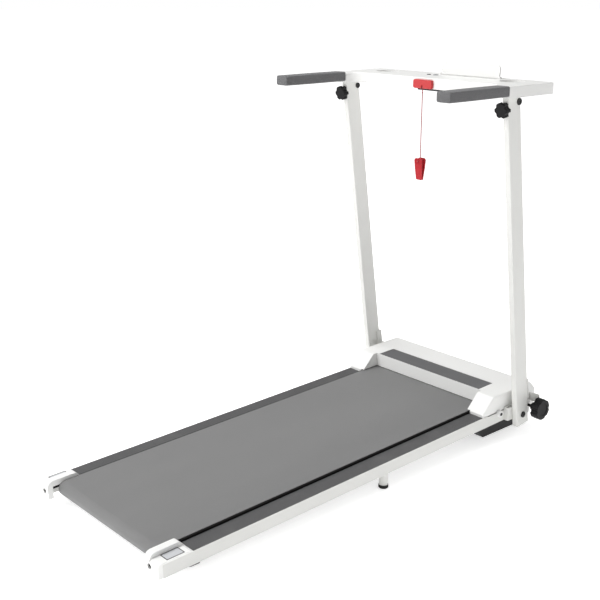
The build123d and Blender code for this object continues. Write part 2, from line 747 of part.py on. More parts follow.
def console_top():
    """Moulded upper shell with cup wells, a groove for a tablet's edge, ears and button holes."""
    outer = Pos(0, 0, console_base_z + base_thickness) * extrude(
        console_plan(0, console_arm_y), amount=console_top_z - console_base_z - base_thickness)
    outer = fillet(outer.edges().group_by(Axis.Z)[-1], 2.5)
    inner = Pos(0, 0, console_base_z) * extrude(
        console_plan(shell_wall, console_arm_y + shell_wall),
        amount=console_top_z - console_base_z - shell_wall)
    shell = outer - inner
    for side in (-1, 1):
        x = side * cup_x
        well = rod("Z", x, cup_y, console_top_z - (cup_depth + 2.5) / 2, cup_radius + 2.5, cup_depth + 2.5)
        well = well - rod("Z", x, cup_y, console_top_z - cup_depth / 2 + 5, cup_radius, cup_depth + 10)
        shell = shell - rod("Z", x, cup_y, console_top_z, cup_radius, 20) + well
        hx = side * handle_x
        shell = shell - block(hx - handle_width / 2, hx + handle_width / 2, console_arm_y - 1,
                              console_arm_y + shell_wall + 1, handle_z - handle_height / 2,
                              handle_z + handle_height / 2)
        x = rest_x + side * (rest_half_width + rest_clearance + rest_ear / 2)
        ear = block(x - rest_ear / 2, x + rest_ear / 2, rest_pivot_y - 4, rest_pivot_y + 4,
                    console_top_z - 1, rest_pivot_z + 3.5)
        ear = fillet(ear.edges().filter_by(Axis.X).group_by(Axis.Z)[-1], 3)
        shell = shell + ear
    shell = shell - rod("X", rest_x, rest_pivot_y, rest_pivot_z, rest_pin_radius, 2 * rest_half_width + 20)
    groove = block(rest_x - rest_half_width + 8, rest_x + rest_half_width - 8, rest_pivot_y - 14,
                   rest_pivot_y - 5, console_top_z - 2, console_top_z + 1)
    shell = shell - groove
    for hole_x, hole in ((power_button_x, 6.0), (mode_button_x, 7.5)):
        shell = shell - rod("Z", hole_x, button_y, console_top_z, hole, 12)
    dock = block(-dock_half_width, dock_half_width, console_face_y - 1, console_face_y + 1.5,
                 dock_z - dock_half_height, dock_z + dock_half_height)
    return shell - dock


def key_dock():
    """Steel plate let into the console's rear face, which holds the magnetic key."""
    return block(-dock_half_width, dock_half_width, console_face_y, console_face_y + 1.5,
                 dock_z - dock_half_height, dock_z + dock_half_height)


def console_base():
    """Flat lower cover of the console, open where the tongues come through."""
    plate = Pos(0, 0, console_base_z) * extrude(console_plan(0, console_arm_y), amount=base_thickness)
    hole = block(mast_x - tongue_thickness / 2, mast_x + tongue_thickness / 2, console_pivot_y - tongue_lobe,
                 console_pivot_y + tongue_lobe, console_base_z - 1, console_base_z + base_thickness + 1)
    return plate - hole - mirrored(hole)


def console_tongue():
    """Right tongue: plate from the handle tube down into the open top of the upright."""
    half = tongue_thickness / 2
    top = handle_z - handle_height / 2
    riser = block(mast_x - half, mast_x + half, console_pivot_y - tongue_lobe, console_pivot_y + tongue_lobe,
                  console_pivot_z, top)
    lobe = rod("X", mast_x, console_pivot_y, console_pivot_z, tongue_lobe, tongue_thickness)
    shoe = block(mast_x - half - 4, mast_x + half + 4, console_pivot_y - 16, console_pivot_y + 24,
                 console_base_z + base_thickness, top)
    pivot_depth = (console_pivot_y - mast_foot_y) * math.cos(lean)
    pivot_depth = pivot_depth + (console_pivot_z - mast_foot_z) * math.sin(lean)
    tail = on_mast * block(mast_x - half, mast_x + half, tongue_tail - 4, pivot_depth, star_knob_up - 6,
                           star_knob_up + 6)
    plate = riser + lobe + shoe + tail
    bolt_hole = rod("X", mast_x, console_pivot_y, console_pivot_z, console_bolt_radius + running_clearance, 60)
    return plate - bolt_hole


def star_frame():
    """Frame of the right star knob: Z along its axis, outwards from the upright's rear face."""
    return on_mast * Pos(mast_x, 0, star_knob_up) * Rot(90, 0, 0)


def star_knob():
    """Right star knob with six lobes and a short stud into the upright."""
    head = Pos(0, 0, 4.7) * scalloped_head(star_knob_radius, star_knob_length, knob_lobes, 7.5, 4.5)
    collar = Pos(0, 0, 2.8) * Cylinder(8.5, 5)
    stud = Pos(0, 0, -3.5) * Cylinder(star_stud_radius, 17)
    return star_frame() * (head + collar + stud)


def handle_tube():
    """Right handle tube: flat tube from the grip's end to the front of the console."""
    front = console_front_y - shell_wall - 10
    outer = block(handle_x - handle_width / 2, handle_x + handle_width / 2, handle_rear_y, front,
                  handle_z - handle_height / 2, handle_z + handle_height / 2)
    inner = block(handle_x - handle_width / 2 + handle_wall, handle_x + handle_width / 2 - handle_wall,
                  handle_rear_y - 1, front + 1, handle_z - handle_height / 2 + handle_wall,
                  handle_z + handle_height / 2 - handle_wall)
    return outer - inner


def grip():
    """Right foam grip: rounded sleeve closed over the end of the handle tube."""
    y1 = console_arm_y - 0.5
    body = block(handle_x - grip_width / 2, handle_x + grip_width / 2, grip_rear_y, y1,
                 handle_z - grip_height / 2, handle_z + grip_height / 2)
    body = fillet(body.edges().filter_by(Axis.Y), 6)
    body = fillet(body.edges().group_by(Axis.Y)[0], 2)
    bore = block(handle_x - handle_width / 2, handle_x + handle_width / 2, handle_rear_y, y1 + 1,
                 handle_z - handle_height / 2, handle_z + handle_height / 2)
    return body - bore


def control_box():
    """Box of the display electronics, screwed under the console."""
    x0, x1 = control_box_x
    box = block(x0, x1, console_face_y + 1, console_face_y + 70, console_base_z - control_box_drop,
                console_base_z)
    return chamfer(box.edges().group_by(Axis.Z)[0], 1)


def tablet_rest():
    """Plate that stands a tablet up. It turns on a pin at its lower edge and lies down forwards."""
    low = -rest_thickness / 2
    plate = block(-rest_half_width, rest_half_width, low, -low, low, low + rest_height + rest_thickness / 2)
    plate = fillet(plate.edges().filter_by(Axis.Y).group_by(Axis.Z)[-1], 12)
    plate = fillet(plate.edges().filter_by(Axis.X).group_by(Axis.Z)[0], rest_thickness / 2 - 0.1)
    plate = plate - rod("X", 0, 0, 0, rest_pin_radius + running_clearance, 2 * rest_half_width + 2)
    return Pos(rest_x, rest_pivot_y, rest_pivot_z) * Rot(-rest_lean, 0, 0) * plate


def rest_pin():
    """Hinge pin of the tablet rest, its ends in the console's ears."""
    length = 2 * (rest_half_width + rest_clearance + rest_ear)
    return rod("X", rest_x, rest_pivot_y, rest_pivot_z, rest_pin_radius, length)


def button(x, radius):
    """Push button with a domed cap and a collar under the console top."""
    cap = rod("Z", x, button_y, console_top_z - 1.4, radius - 0.3, 5.8)
    cap = fillet(cap.edges().group_by(Axis.Z)[-1], 1)
    collar = rod("Z", x, button_y, console_top_z - shell_wall - 1.1, radius + 1.5, 1.6)
    return cap + collar


def safety_key():
    """Magnetic safety key: rounded slab with a notch where the lanyard comes out."""
    y1 = console_face_y - key_gap
    slab = block(-key_width / 2, key_width / 2, y1 - key_thickness, y1, key_bottom_z,
                 key_bottom_z + key_height)
    slab = fillet(slab.edges().filter_by(Axis.Y), 6)
    slab = fillet(slab.edges().group_by(Axis.Y)[0], 1.8)
    notch_face = make_face(Polyline([(-5, 0, key_bottom_z - 1), (5, 0, key_bottom_z - 1),
                                     (0, 0, key_bottom_z + 12)], close=True))
    notch = Pos(0, y1 - key_thickness - 1, 0) * extrude(notch_face, amount=notch_depth + 1, dir=(0, 1, 0))
    return slab - notch


def cord_path():
    """Route of the lanyard: straight runs joined by the largest tangent arcs they allow."""
    points = [Vector(*p) for p in cord_points]
    radii = []
    for a, b, c in zip(points, points[1:], points[2:]):
        turn = (b - a).get_angle(c - b)
        shorter = min((b - a).length, (c - b).length)
        radii.append(0.45 * shorter / math.tan(math.radians(turn) / 2))
    print("cord radii", [round(r, 1) for r in radii])
    return FilletPolyline(*points, radius=radii)


def lanyard_cord():
    """Thin cord from the key to the clip."""
    path = cord_path()
    profile = Plane(origin=path @ 0, z_dir=path % 0) * Circle(cord_radius)
    return sweep(profile, path=path)


def lanyard_knots():
    """Knots that hold the cord in the key's notch and below it."""
    x, y, z = cord_exit
    spots = [(x, y, z + 0.3), (x, y, z - knot_drop), cord_points[-1]]
    return Compound([Pos(*spot) * Sphere(knot_radius) - lanyard_cord() for spot in spots])


def clip_place():
    """Frame of the clip: origin at the top centre of its two levers."""
    return Pos(clip_x, clip_y, clip_top_z)


def clip_outline():
    """Front view of the clip: round shoulders, narrowing to the jaws."""
    top = clip_width / 2
    foot = clip_foot_width / 2
    face = make_face(Polyline([(-top, 0, 0), (top, 0, 0), (foot, 0, -clip_height), (-foot, 0, -clip_height)],
                              close=True))
    body = extrude(face, amount=15, dir=(0, 1, 0), both=True)
    edges = body.edges().filter_by(Axis.Y)
    body = fillet(edges.group_by(Axis.Z)[-1], 7)
    return fillet(body.edges().filter_by(Axis.Y).group_by(Axis.Z)[0], 3)


def clip_front_jaw():
    """Half of the clip nearer the runner, with the pin's ears and a hole for the lanyard."""
    t = clip_plate
    drop = clip_top_z - clip_pin_z
    outline = [(-9, 0), (-9 + t, 0), (-4, -drop + 2), (-0.4, -clip_height + 6), (-0.4, -clip_height),
               (-3, -clip_height), (-4 - t, -drop + 2)]
    plate = side_profile(outline, -clip_width / 2, clip_width / 2) & clip_outline()
    ears = block(-5.5, -2.5, -5, 1.4, -drop - 4, -drop + 4) + block(2.5, 5.5, -5, 1.4, -drop - 4, -drop + 4)
    pin = rod("X", 0, 0, -drop, clip_pin_radius, clip_width - 6)
    eye = rod("Y", 0, -6, -8, clip_eye_radius, 20)
    return clip_place() * (plate + ears + pin - eye)


def clip_back_jaw():
    """Half of the clip behind, which turns on the pin when the levers are pinched."""
    t = clip_plate
    drop = clip_top_z - clip_pin_z
    outline = [(9, 0), (9 - t, 0), (4, -drop + 2), (0.4, -clip_height + 6), (0.4, -clip_height),
               (3, -clip_height), (4 + t, -drop + 2)]
    plate = side_profile(outline, -clip_width / 2, clip_width / 2) & clip_outline()
    ears = block(-9.5, -6.5, -1.8, 5, -drop - 3, -drop + 3) + block(6.5, 9.5, -1.8, 5, -drop - 3, -drop + 3)
    bore = rod("X", 0, 0, -drop, clip_pin_radius + running_clearance, clip_width + 4)
    return clip_place() * (plate + ears - bore)


# ================= fasteners =================

def frame_screws():
    """Bushes with bolts on the rails beside the hinge brackets, and the hood's side screws."""
    bush = tube_along_x(rail_outer_x + 5, side_bush_y, side_bush_z, side_bush_radius, side_bolt_radius, 10)
    core = rod("X", rail_outer_x + 5.5, side_bush_y, side_bush_z, side_bolt_radius, 11)
    screws = rod("X", rail_outer_x - rail_lip + 0.5, hood_front_y - 60, rail_height + 14, 4, 1)
    return on_deck * Compound([pair(bush + core), pair(screws)])


nodes = {
    "rail_right": on_deck * rail(),
    "rail_left": on_deck * mirrored(rail()),
    "side_strip_right": on_deck * side_strip(),
    "side_strip_left": on_deck * mirrored(side_strip()),
    "cross_members": on_deck * cross_members(),
    "deck_cushions": on_deck * deck_cushions(),
    "deck_board": on_deck * deck_board(),
    "running_belt": on_deck * running_belt(),
    "rear_roller": on_deck * roller(rear_roller_y),
    "front_roller": on_deck * roller(front_roller_y),
    "roller_pulley": on_deck * roller_pulley(),
    "roller_bearings": on_deck * roller_bearings(),
    "rear_axle": on_deck * roller_axle(rear_roller_y, True),
    "front_axle": on_deck * roller_axle(front_roller_y, False),
    "tension_bolts": on_deck * tension_bolts(),
    "rear_cap_right": on_deck * rear_cap(),
    "rear_cap_left": on_deck * mirrored(rear_cap()),
    "cap_panels": on_deck * pair(cap_panel()),
    "mid_legs": pair(mid_leg()),
    "rubber_feet": feet(),
    "motor_hood": on_deck * motor_hood(),
    "hood_insert": on_deck * hood_insert(),
    "belly_pan": belly_pan(),
    "motor_body": on_deck * motor_body(),
    "motor_mount": motor_mount(),
    "motor_shaft": on_deck * motor_shaft(),
    "drive_belt": on_deck * drive_belt(),
    "controller_box": controller_box(),
    "power_inlet": on_deck * power_inlet(),
    "power_switch": on_deck * power_switch(),
    "switch_pin": on_deck * switch_pin(),
    "hinge_bracket_right": hinge_bracket(),
    "hinge_bracket_left": mirrored(hinge_bracket()),
    "mast_pivot_bolts": mast_pivot_bolts(),
    "frame_screws": frame_screws(),
    "lock_knob_right": lock_knob(),
    "lock_knob_left": mirrored(lock_knob()),
    "upright_right": upright(),
    "upright_left": mirrored(upright()),
    "console_pivot_bolts": console_pivot_bolts(),
    "console_top": console_top(),
    "console_base": console_base(),
    "console_tongues": pair(console_tongue()),
    "handle_tubes": pair(handle_tube()),
    "grip_right": grip(),
    "grip_left": mirrored(grip()),
    "control_box": control_box(),
    "key_dock": key_dock(),
    "tablet_rest": tablet_rest(),
    "rest_pin": rest_pin(),
    "power_button": button(power_button_x, 6.0),
    "mode_button": button(mode_button_x, 7.5),
    "star_knob_right": star_knob(),
    "star_knob_left": mirrored(star_knob()),
    "safety_key": safety_key(),
    "lanyard_cord": lanyard_cord(),
    "lanyard_knots": lanyard_knots(),
    "clip_front_jaw": clip_front_jaw(),
    "clip_back_jaw": clip_back_jaw(),
}
whole = Compound(list(nodes.values())).bounding_box()
centre = Pos(-(whole.min.X + whole.max.X) / 2, -(whole.min.Y + whole.max.Y) / 2, 0)

if __name__ == "__main__":
    os.makedirs("parts", exist_ok=True)
    for name, shape in nodes.items():
        export_step(centre * shape, f"parts/{name}.step")
    cord = nodes["lanyard_cord"]
    print("cord length", round(cord.volume / (math.pi * cord_radius ** 2), 2), round(cord_path().length, 2))
    print("size", whole.size, "bottom", whole.min.Z, "centre Y", (whole.min.Y + whole.max.Y) / 2)
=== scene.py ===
import math

import bmesh
import bpy
import numpy as np
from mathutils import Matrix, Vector


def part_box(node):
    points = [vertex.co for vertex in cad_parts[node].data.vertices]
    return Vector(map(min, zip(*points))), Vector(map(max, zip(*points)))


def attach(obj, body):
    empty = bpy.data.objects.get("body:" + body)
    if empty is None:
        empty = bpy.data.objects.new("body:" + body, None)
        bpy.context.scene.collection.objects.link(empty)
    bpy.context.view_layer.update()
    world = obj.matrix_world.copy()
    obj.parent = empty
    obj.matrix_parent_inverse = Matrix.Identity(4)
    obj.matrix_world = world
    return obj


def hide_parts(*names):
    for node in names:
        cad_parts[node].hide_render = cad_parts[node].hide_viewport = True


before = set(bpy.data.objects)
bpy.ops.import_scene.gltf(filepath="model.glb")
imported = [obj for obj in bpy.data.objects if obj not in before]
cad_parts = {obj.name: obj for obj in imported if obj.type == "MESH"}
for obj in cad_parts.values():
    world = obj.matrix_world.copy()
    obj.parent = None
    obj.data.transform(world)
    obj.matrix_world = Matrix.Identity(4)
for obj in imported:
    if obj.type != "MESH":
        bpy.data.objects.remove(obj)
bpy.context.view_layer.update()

scene = bpy.context.scene
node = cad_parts


# ---- Camera ----
# A long lens to the right of the runner's end, a little above the console.

LENS_TILT, LENS_TURN = 17.04, 48.47         # degrees down, and round to the left

camera_data = bpy.data.cameras.new("camera")
camera_data.lens = 62.0
camera_data.sensor_width = 36.0
camera_data.clip_end = 50
camera = bpy.data.objects.new("camera", camera_data)
camera.location = (1.8946, -1.6995, 1.2331)
camera.rotation_euler = (math.radians(90 - LENS_TILT), 0, math.radians(LENS_TURN))
scene.collection.objects.link(camera)
scene.camera = camera


# ---- Studio ----
# A plain pale floor and four large soft lamps. The key lamp is overhead and a little to the
# left, so the faces on the right stay a light grey.

FLOOR_REACH = 60                            # metres from the middle to each side
FLOOR_FADE = 0.8, 5.0                       # distances over which the floor gets brighter
SKY_BASE, SKY_SEEN = 0.34, 0.66             # sky strength, and what is added where it shows


class Wire:
    """Wraps a shader socket, so that it takes part in Python expressions."""

    tree = None

    def __init__(self, socket):
        self.socket = socket

    def math(self, operation, *others):
        """Adds a Math node that takes this value first."""
        return Wire.add("ShaderNodeMath", {"operation": operation}, [self, *others])[0]

    def __add__(self, other): return self.math("ADD", other)
    def __radd__(self, other): return self.math("ADD", other)
    def __sub__(self, other): return self.math("SUBTRACT", other)
    def __mul__(self, other): return self.math("MULTIPLY", other)
    def __rmul__(self, other): return self.math("MULTIPLY", other)

    def __rsub__(self, other):
        return Wire.add("ShaderNodeMath", {"operation": "SUBTRACT"}, [other, self])[0]

    def step(self, low, high):
        """Smooth ramp from 0 at low to 1 at high."""
        return Wire.add("ShaderNodeMapRange", {"interpolation_type": "SMOOTHSTEP"},
                        [self, low, high, 0.0, 1.0])[0]

    @staticmethod
    def add(kind, settings, inputs):
        """Adds a node: its settings first, then the values or links of its sockets, which go by
        place in a list or by name. Gives the node's outputs."""
        made = Wire.tree.nodes.new(kind)
        for name, value in settings.items():
            setattr(made, name, value)
        pairs = inputs.items() if isinstance(inputs, dict) else enumerate(inputs)
        for name, value in pairs:
            if isinstance(value, Wire):
                Wire.tree.links.new(made.inputs[name], value.socket)
            else:
                made.inputs[name].default_value = value
        return [Wire(socket) for socket in made.outputs]


def grey(value):
    """A colour with no hue."""
    return (value, value, value)


def mix(amount, low, high):
    """Blends two colours, low at 0 and high at 1."""
    low = low if isinstance(low, Wire) else (*low, 1)
    high = high if isinstance(high, Wire) else (*high, 1)
    return Wire.add("ShaderNodeMix", {"data_type": "RGBA"}, {0: amount, 6: low, 7: high})[2]


def place(scale=(1, 1, 1)):
    """Object coordinates in metres, each multiplied by its scale."""
    coords = Wire.add("ShaderNodeTexCoord", {}, [])[3]
    return Wire.add("ShaderNodeMapping", {}, {"Vector": coords, "Scale": scale})[0]


def noise(where, scale, detail=2.0, rough=0.5):
    """Cloudy noise from 0 to 1."""
    return Wire.add("ShaderNodeTexNoise", {},
                    {"Vector": where, "Scale": scale, "Detail": detail, "Roughness": rough})[0]


def material(name):
    """Starts a new node material and points Wire at its tree."""
    made = bpy.data.materials.new(name)
    made.use_nodes = True
    Wire.tree = made.node_tree
    return made


def finish(colour, rough, metal=0.0, bump=None, depth=0.0002, sheen=0.0, specular=0.5):
    """Closes the material that was started last. Its colour and bump are wires, its roughness is
    a wire or a number, and depth is the height of its relief in metres."""
    tree = Wire.tree
    shader = tree.nodes["Principled BSDF"]
    tree.links.new(shader.inputs["Base Color"], colour.socket)
    if isinstance(rough, Wire):
        tree.links.new(shader.inputs["Roughness"], rough.socket)
    else:
        shader.inputs["Roughness"].default_value = rough
    shader.inputs["Metallic"].default_value = metal
    shader.inputs["Specular IOR Level"].default_value = specular
    shader.inputs["Sheen Weight"].default_value = sheen
    if bump is not None:
        relief = Wire.add("ShaderNodeBump", {},
                          {"Strength": 1.0, "Distance": depth, "Height": bump})[0]
        tree.links.new(shader.inputs["Normal"], relief.socket)


def paint(made, *targets):
    """Gives a material to pieces or CAD nodes."""
    for target in targets:
        piece = node[target] if isinstance(target, str) else target
        piece.data.materials.clear()
        piece.data.materials.append(made)


def grid_mesh(name, points, wrap_u=False, wrap_v=False, caps=False):
    """Mesh from an array of points [u, v, xyz]. Wrapped directions join back to their start,
    and caps closes the two ends of v with a face each."""
    nu, nv = points.shape[:2]
    iu = np.arange(nu if wrap_u else nu - 1)
    iv = np.arange(nv if wrap_v else nv - 1)
    u, v = np.meshgrid(iu, iv, indexing="ij")
    u2, v2 = (u + 1) % nu, (v + 1) % nv
    quads = np.stack([u * nv + v, u2 * nv + v, u2 * nv + v2, u * nv + v2], -1).reshape(-1, 4)
    faces = quads.tolist()
    if caps:
        ring = np.arange(nu)
        faces.append((ring * nv)[::-1].tolist())
        faces.append((ring * nv + nv - 1).tolist())
    mesh = bpy.data.meshes.new(name)
    mesh.from_pydata(points.reshape(-1, 3), [], faces)
    mesh.validate()
    made = bpy.data.objects.new(name, mesh)
    scene.collection.objects.link(made)
    return made


floor_points = np.zeros((2, 2, 3))
floor_points[..., 0], floor_points[..., 1] = np.meshgrid(
    [-FLOOR_REACH, FLOOR_REACH], [-FLOOR_REACH, FLOOR_REACH], indexing="ij")
studio_floor = grid_mesh("studio_floor", floor_points)

floor_paper = material("floor_paper")
far = Wire.add("ShaderNodeVectorMath", {"operation": "LENGTH"}, [place()])[1].step(*FLOOR_FADE)
finish(mix(noise(place(), 3.0), grey(0.90), grey(0.93)), 0.9, specular=0.0)
floor_shader = floor_paper.node_tree.nodes["Principled BSDF"]
floor_shader.inputs["Emission Strength"].default_value = 1.0
floor_paper.node_tree.links.new(floor_shader.inputs["Emission Color"],
                                mix(far, grey(0.62), grey(0.9)).socket)
paint(floor_paper, studio_floor)


def lamp(name, where, aim, size, power):
    """Square soft lamp at a place, aimed at a point."""
    data = bpy.data.lights.new(name, "AREA")
    data.size = size
    data.energy = power
    made = bpy.data.objects.new(name, data)
    made.location = where
    made.rotation_euler = (Vector(aim) - Vector(where)).to_track_quat("-Z", "Y").to_euler()
    scene.collection.objects.link(made)


lamp("top_lamp", (-0.9, -0.7, 3.6), (0, 0, 0.3), size=3.0, power=110)
lamp("runner_lamp", (-1.6, -4.2, 2.2), (0, 0, 0.6), size=2.4, power=78)
lamp("right_lamp", (3.6, -0.6, 1.2), (0, 0, 0.5), size=2.4, power=2)
lamp("front_lamp", (0.2, 3.4, 2.4), (0, 0, 0.5), size=2.4, power=26)

world = bpy.data.worlds.new("studio")
world.use_nodes = True
Wire.tree = world.node_tree
seen = Wire.add("ShaderNodeLightPath", {}, [])[0]
sky = world.node_tree.nodes["Background"]
sky.inputs["Color"].default_value = (1, 1, 1, 1)
world.node_tree.links.new(sky.inputs["Strength"], (seen * SKY_SEEN + SKY_BASE).socket)
scene.world = world
scene.view_settings.view_transform = "Standard"


# ---- Running belt ----
# An endless rubber-faced fabric belt round both rollers. Its face is pressed with fine raised
# diamonds, and a bonded seam crosses it at a slant, here on the lower run.

CENTRE_Y = 0.6415324        # from the rail ends to the frame's origin, in metres
BELT_HALF_WIDTH = 0.210
BELT_THICKNESS = 0.0015
BELT_EDGE = 0.0004          # rounding of the belt's cut edges
TURN_RADIUS = 0.0195        # outside of the belt round either roller
REAR_AXIS, FRONT_AXIS, AXIS_UP = 0.035, 1.137, 0.020    # in the tilted deck
DECK_TILT = math.radians(1.56)
DECK_LIFT = 0.025
DIAMOND_TURNS = 1700.0      # radians of each slanting wave in a metre
SEAM_AT, SEAM_SLANT = 1.70, 0.32
SEAM_EDGE = 0.0004, 0.0011
WORN_HALF = 0.03, 0.19      # from the middle line, where feet grey the belt most and least


def axes(where):
    """The coordinates of a vector."""
    return Wire.add("ShaderNodeSeparateXYZ", {}, [where])


belt_rubber = material("belt_rubber")
along, x = axes(Wire.add("ShaderNodeUVMap", {"uv_map": "belt_run"}, [])[0])[:2]
slant_a = ((x + along) * DIAMOND_TURNS).math("SINE")
slant_b = ((x - along) * DIAMOND_TURNS).math("SINE")
diamonds = (slant_a * slant_b).step(-0.2, 0.8)
seam = 1 - (along + x * SEAM_SLANT - SEAM_AT).math("ABSOLUTE").step(*SEAM_EDGE)
dust = noise(place((1, 0.25, 1)), 9.0, 4.0).step(0.35, 0.8)
worn = 1 - x.math("ABSOLUTE").step(*WORN_HALF)
shade = mix(diamonds, grey(0.185), grey(0.262))
shade = mix(dust * 0.12 + worn * 0.06, shade, (0.300, 0.300, 0.296))
shade = mix(seam * 0.7, shade, grey(0.09))
finish(shade, 0.62 - diamonds * 0.12, bump=diamonds - seam, depth=0.00035, specular=0.4)


def outward(piece):
    """Merges doubles and turns every face outwards."""
    work = bmesh.new()
    work.from_mesh(piece.data)
    bmesh.ops.remove_doubles(work, verts=work.verts, dist=1e-6)
    bmesh.ops.recalc_face_normals(work, faces=work.faces)
    work.to_mesh(piece.data)
    work.free()


def smooth(piece, angle):
    """Shades a piece smooth, with edges sharper than the angle kept crisp."""
    piece.data.shade_smooth()
    piece.data.set_sharp_from_angle(angle=math.radians(angle))


def belt_loop():
    """Rounded oblong section carried round a racetrack: two half circles about the roller axes
    and two straight runs between them, then tilted with the deck. Its UV map holds the distance
    run round the racetrack and the distance across, in metres."""
    half = np.linspace(-np.pi / 2, np.pi / 2, 49)
    run = np.linspace(0, 1, 26)[1:-1]
    span = FRONT_AXIS - REAR_AXIS
    y = np.r_[FRONT_AXIS + 0 * half, FRONT_AXIS - span * run,
              REAR_AXIS + 0 * half, REAR_AXIS + span * run]
    z_out = np.r_[np.sin(half), 1 + 0 * run, -np.sin(half), -1 + 0 * run]
    y_out = np.r_[np.cos(half), 0 * run, -np.cos(half), 0 * run]
    quarter = np.linspace(0, np.pi / 2, 5)
    sine, cosine = np.sin(quarter), np.cos(quarter)
    wide = BELT_HALF_WIDTH - BELT_EDGE
    deep = BELT_THICKNESS / 2 - BELT_EDGE
    across = np.repeat([1, -1, -1, 1], 5) * wide + np.r_[cosine, -sine, -cosine, sine] * BELT_EDGE
    out = np.repeat([1, 1, -1, -1], 5) * deep + np.r_[sine, cosine, -sine, -cosine] * BELT_EDGE
    radius = TURN_RADIUS - BELT_THICKNESS / 2 + out
    deck_y = y[:, None] + y_out[:, None] * radius
    deck_z = AXIS_UP + z_out[:, None] * radius
    points = np.zeros((len(y), len(across), 3))
    points[..., 0] = across
    points[..., 1] = deck_y * math.cos(DECK_TILT) - deck_z * math.sin(DECK_TILT) - CENTRE_Y
    points[..., 2] = DECK_LIFT + deck_y * math.sin(DECK_TILT) + deck_z * math.cos(DECK_TILT)
    loop = grid_mesh("belt_loop", points, wrap_u=True, wrap_v=True)
    face_y = y + y_out * TURN_RADIUS
    face_z = z_out * TURN_RADIUS
    steps = np.hypot(np.diff(face_y, append=face_y[0]), np.diff(face_z, append=face_z[0]))
    reached = np.r_[0, np.cumsum(steps)]
    u, v = np.meshgrid(np.arange(len(y)), np.arange(len(across)), indexing="ij")
    v2 = (v + 1) % len(across)
    flat = np.stack([reached[u], across[v], reached[u + 1], across[v],
                     reached[u + 1], across[v2], reached[u], across[v2]], -1)
    loop.data.uv_layers.new(name="belt_run").data.foreach_set("uv", flat.ravel())
    return loop


belt = belt_loop()
outward(belt)
smooth(belt, 50)
paint(belt_rubber, belt)
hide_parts("running_belt")
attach(belt, "deck")


# ---- Rails, middle legs and hinge brackets ----
# Steel box rails, tube legs and folded steel brackets in a thick white powder coat with a fine
# orange-peel texture, and painted shade that greys the edges.

def painted_edge_shading(width):
    """Painted edge shading mask: 1 on edges and corners, 0 on flats, from the angle between the
    true and a rounded normal.
    """
    rounded = Wire.add("ShaderNodeBevel", {"samples": 4}, {"Radius": width})[0]
    true = Wire.add("ShaderNodeNewGeometry", {}, [])[3]
    dot = Wire.add("ShaderNodeVectorMath", {"operation": "DOT_PRODUCT"}, [rounded, true])[1]
    return (1 - dot).step(0.02, 0.25)


def powder(name, light, dark, rough=0.42):
    """Powder coat: orange-peel bump, faint clouds of tone and painted edge shading towards mid
    grey.
    """
    made = material(name)
    peel = noise(place(), 900.0, 1.0)
    cloud = noise(place(), 5.0, 3.0)
    painted_edge = painted_edge_shading(0.0015)
    colour = mix(cloud.step(0.3, 0.75), light, dark)
    # Painted shade and highlight: edges go towards mid grey, greyer on the white coat and lighter
    # on dark coats.
    colour = mix(painted_edge * 0.35, colour, (0.60, 0.60, 0.585))
    finish(colour, rough + peel * 0.08, bump=peel, depth=0.00006)
    return made


white_coat = powder("white_powder_coat", (0.735, 0.735, 0.712), (0.71, 0.71, 0.688))
paint(white_coat, "rail_right", "rail_left", "mid_legs",
      "hinge_bracket_right", "hinge_bracket_left")


# ---- Cross members, motor saddle and bolts ----
# Square steel tubes and a bent steel saddle in a black coat, and black oxide socket bolts.

black_coat = powder("black_powder_coat", (0.025, 0.025, 0.027), (0.035, 0.035, 0.037), 0.5)
paint(black_coat, "cross_members", "motor_mount")
black_oxide = material("black_oxide")
# Painted highlight: the bolts' edges are painted a lighter grey.
finish(mix(painted_edge_shading(0.0006), (0.018, 0.018, 0.019), grey(0.20)),
       0.30 + noise(place(), 400.0) * 0.2, metal=0.6, bump=noise(place(), 700.0), depth=0.00003)
paint(black_oxide, "tension_bolts", "mast_pivot_bolts", "console_pivot_bolts")


# ---- Side bushes ----
# White nylon bushes on the rails beside the brackets, each held by a black bolt, and the
# hood's two side screws, which are black all over.

BUSH_Y, BUSH_Z = 1.1278 - CENTRE_Y, 0.0832
BOLT_RIM = 0.0000205, 0.0000225     # squares of the distances between which the black ends
SCREWS_FROM = 0.58, 0.585           # the hood's screws are in front of this

nylon = material("white_nylon")
y, z = axes(place())[1:]
across = (y - BUSH_Y) * (y - BUSH_Y)
up = (z - BUSH_Z) * (z - BUSH_Z)
bolt = 1 - (across + up).step(*BOLT_RIM)
screws = y.step(*SCREWS_FROM)
finish(mix(bolt + screws, (0.80, 0.80, 0.79), grey(0.02)),
       0.4 + noise(place(), 300.0) * 0.1, bump=noise(place(), 300.0), depth=0.00005)
paint(nylon, "frame_screws")


# ---- Side strips ----
# Extruded plastic treads in the rails, with fine lengthwise grooves that stop shoes slipping.

GROOVE_TURNS = 1570.8       # radians in a metre, so a groove every 4 mm

tread = material("tread_strip")
groove = (axes(place())[0] * GROOVE_TURNS).math("SINE").step(-0.5, 0.3)
grain = noise(place((1, 0.4, 1)), 700.0, 2.0)
shade = mix(groove, (0.050, 0.050, 0.051), (0.105, 0.105, 0.107))
shade = mix(noise(place(), 14.0, 4.0).step(0.45, 0.8) * 0.4, shade, grey(0.13))
finish(shade, 0.5 + grain * 0.2, bump=groove + grain * 0.25, depth=0.0003)
paint(tread, "side_strip_right", "side_strip_left")


# ---- Pan, switch, inlet and feet ----
# Moulded black plastic with a fine spark-eroded grain, and black rubber for the feet, the
# cushions and the motor's belt.

